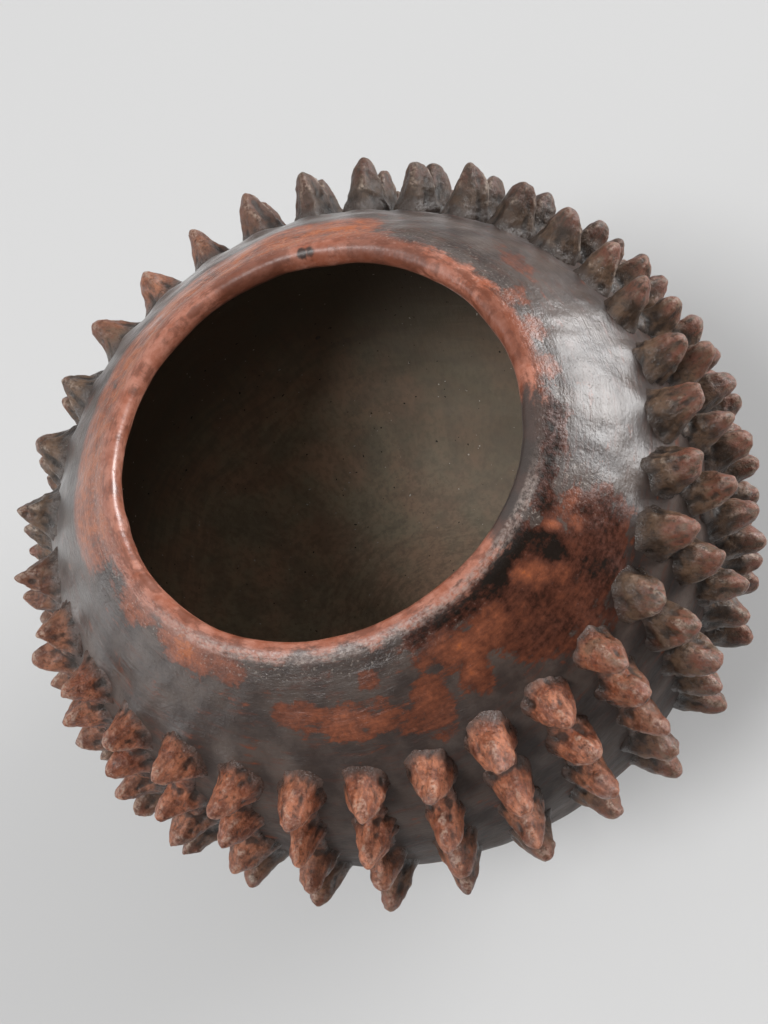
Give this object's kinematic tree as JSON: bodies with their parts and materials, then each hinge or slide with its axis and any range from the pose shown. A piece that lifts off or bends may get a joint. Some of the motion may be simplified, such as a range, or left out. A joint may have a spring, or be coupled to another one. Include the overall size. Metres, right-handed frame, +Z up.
{
  "type": "vase",
  "caption": "Round hand-built clay vase with a wide mouth, thick rolled lip and upright rows of pinched thorns round its belly.",
  "frame": {"origin": "middle of the underside of the foot, on the vase's axis", "axes": "+Z up through the middle of the mouth; -Y is the side turned towards the viewer in the picture"},
  "size_m": [0.2812, 0.2798, 0.1972],
  "materials": {
    "wall_clay": "burnished, smoke-clouded from grey-brown to dark red",
    "lip_clay": "burnished terracotta, worn lighter along the crest",
    "base_clay": "matt, unburnished",
    "thorn_clay": "matt low-fired clay with worn orange faces"
  },
  "bodies": {
    "root": {"base_pad": "base_clay", "vessel_wall": "wall_clay", "rim_coil": "lip_clay", "thorn_column_01": "thorn_clay", "thorn_column_02": "thorn_clay", "thorn_column_03": "thorn_clay", "thorn_column_04": "thorn_clay", "thorn_column_05": "thorn_clay", "thorn_column_06": "thorn_clay", "thorn_column_07": "thorn_clay", "thorn_column_08": "thorn_clay", "thorn_column_09": "thorn_clay", "thorn_column_10": "thorn_clay", "thorn_column_11": "thorn_clay", "thorn_column_12": "thorn_clay", "thorn_column_13": "thorn_clay", "thorn_column_14": "thorn_clay", "thorn_column_15": "thorn_clay", "thorn_column_16": "thorn_clay", "thorn_column_17": "thorn_clay", "thorn_column_18": "thorn_clay", "thorn_column_19": "thorn_clay", "thorn_column_20": "thorn_clay", "thorn_column_21": "thorn_clay", "thorn_column_22": "thorn_clay", "thorn_column_23": "thorn_clay", "thorn_column_24": "thorn_clay", "thorn_column_25": "thorn_clay", "thorn_column_26": "thorn_clay", "thorn_column_27": "thorn_clay", "thorn_column_28": "thorn_clay", "thorn_column_29": "thorn_clay", "thorn_column_30": "thorn_clay", "thorn_column_31": "thorn_clay", "thorn_column_32": "thorn_clay"}
  },
  "joints": []
}
